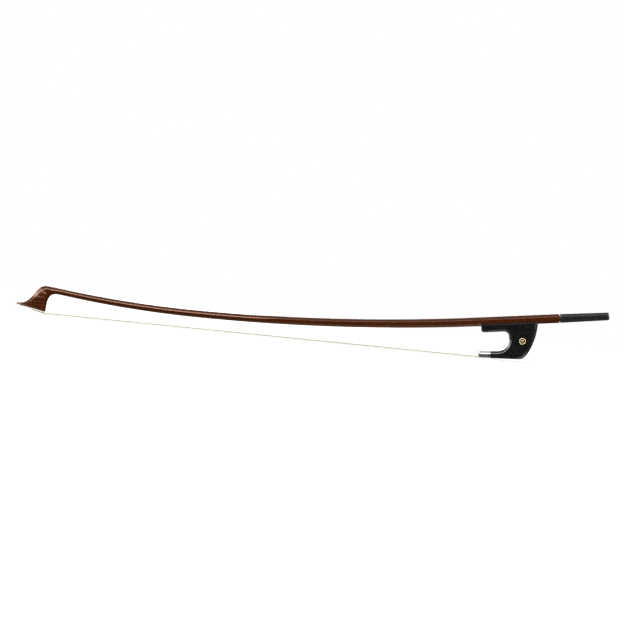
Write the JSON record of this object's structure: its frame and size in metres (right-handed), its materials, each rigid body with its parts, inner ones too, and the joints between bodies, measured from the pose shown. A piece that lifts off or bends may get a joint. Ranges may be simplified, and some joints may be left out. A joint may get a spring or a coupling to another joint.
{
  "type": "double bass bow",
  "caption": "German-pattern double bass bow: cambered stick with octagonal handle, open-throated frog moved by a screw button, ferrule, slide, tip plate and horsehair ribbon.",
  "frame": {"origin": "under the middle of the bow's length, on its mid-plane, level with the lower front edge of the ferrule, which is the bow's lowest point when the hair is level", "axes": "+X along the hair from the head towards the button, +Z from the hair to the stick, +Y across the bow"},
  "size_m": [0.775, 0.015, 0.0752],
  "materials": {
    "stick": "gloss lacquer over braided carbon fibre, red-brown",
    "ebony": "satin black ebony",
    "plate": "white, polished",
    "plug": "plain light wood",
    "hair": "natural horsehair, pale yellow",
    "steel": "plain steel",
    "brass": "plain brass",
    "silver": "polished nickel silver, an alloy as dense as brass and white in colour",
    "pearl": "mother-of-pearl"
  },
  "bodies": {
    "stick": {"stick": "stick", "head_plate_liner": "ebony", "head_plate": "plate", "head_plug": "plug", "head_hair_knot": "hair", "screw_bush_rear": "brass", "screw_bush_front": "brass", "hair_ribbon": "hair"},
    "button": {"button": "ebony", "button_collar": "silver", "adjusting_screw": "steel"},
    "frog": {"frog_body": "ebony", "frog_liner": "silver", "liner_screw_front": "steel", "liner_screw_rear": "steel", "eyelet": "brass", "ferrule": "silver", "ferrule_wedge": "plug", "frog_plug": "plug", "frog_hair_knot": "hair", "slide": "ebony", "slide_pearl": "pearl", "eye_ring_left": "brass", "eye_pearl_left": "pearl", "eye_ring_right": "brass", "eye_pearl_right": "pearl"}
  },
  "joints": [
    {"name": "button_turn", "type": "hinge", "parent": "stick", "child": "button", "pos_m": [0.32203, 0, 0.0613], "axis": [-0.99, 0, -0.1409], "range_deg": [-2520, 1440]},
    {"name": "frog_slide", "type": "slide", "parent": "stick", "child": "frog", "axis": [0.99, 0, 0.1409], "range_m": [-0.0049, 0.0028], "deforming": ["hair_ribbon"]}
  ],
  "couplings": [
    {"joint": "button_turn", "follows": "frog_slide", "rad_per_m": 8975.9}
  ]
}
